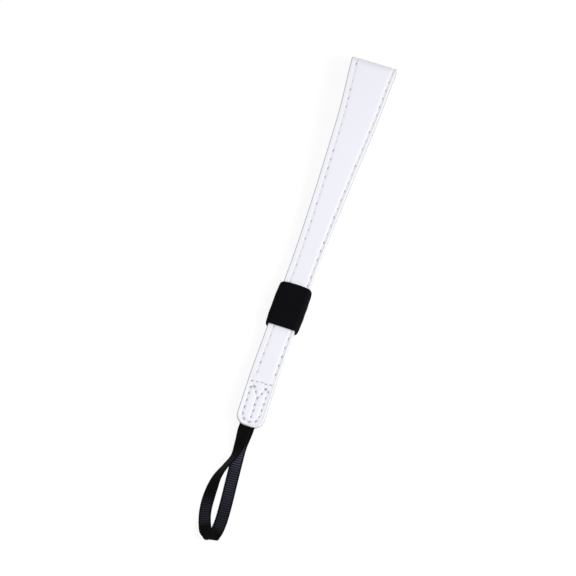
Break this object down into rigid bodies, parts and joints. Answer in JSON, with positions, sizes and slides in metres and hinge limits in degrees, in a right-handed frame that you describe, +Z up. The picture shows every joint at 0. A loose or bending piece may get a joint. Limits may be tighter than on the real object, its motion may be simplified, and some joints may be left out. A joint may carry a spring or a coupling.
{
  "type": "camera wrist strap",
  "caption": "Folded white leather wrist strap with stitched edges, a sliding black elastic keeper and a ribbed black webbing loop for a camera's strap lug.",
  "frame": {"origin": "on the ground under the middle of the strap's box: half way between the fold and the far end of the webbing loop, and under the middle of the fold", "axes": "+Y runs along the strap from the webbing loop to the fold, +Z is up from the ground that it lies on, +X is across it"},
  "size_m": [0.0216, 0.2368, 0.0106],
  "materials": {
    "white_leather": "smooth satin white leather with a fine grain",
    "lining_leather": "matt white lining leather",
    "white_thread": "twisted white sewing thread",
    "black_webbing": "black ribbed webbing with a slight sheen",
    "black_elastic": "black knitted elastic with a soft pile",
    "black_thread": "black sewing thread"
  },
  "bodies": {
    "strap": {"outer_leather": "white_leather", "lining_leather": "lining_leather", "edge_stitch_left": "white_thread", "edge_stitch_right": "white_thread", "end_seam_top": "white_thread", "end_seam_under": "white_thread", "bar_seam_top": "white_thread", "bar_seam_under": "white_thread", "webbing_loop": "black_webbing"},
    "keeper": {"keeper_band": "black_elastic", "keeper_seam": "black_thread"}
  },
  "joints": [
    {"name": "keeper_slide", "type": "slide", "parent": "strap", "child": "keeper", "axis": [0, 1, 0], "range_m": [-0.016, 0.02]}
  ]
}
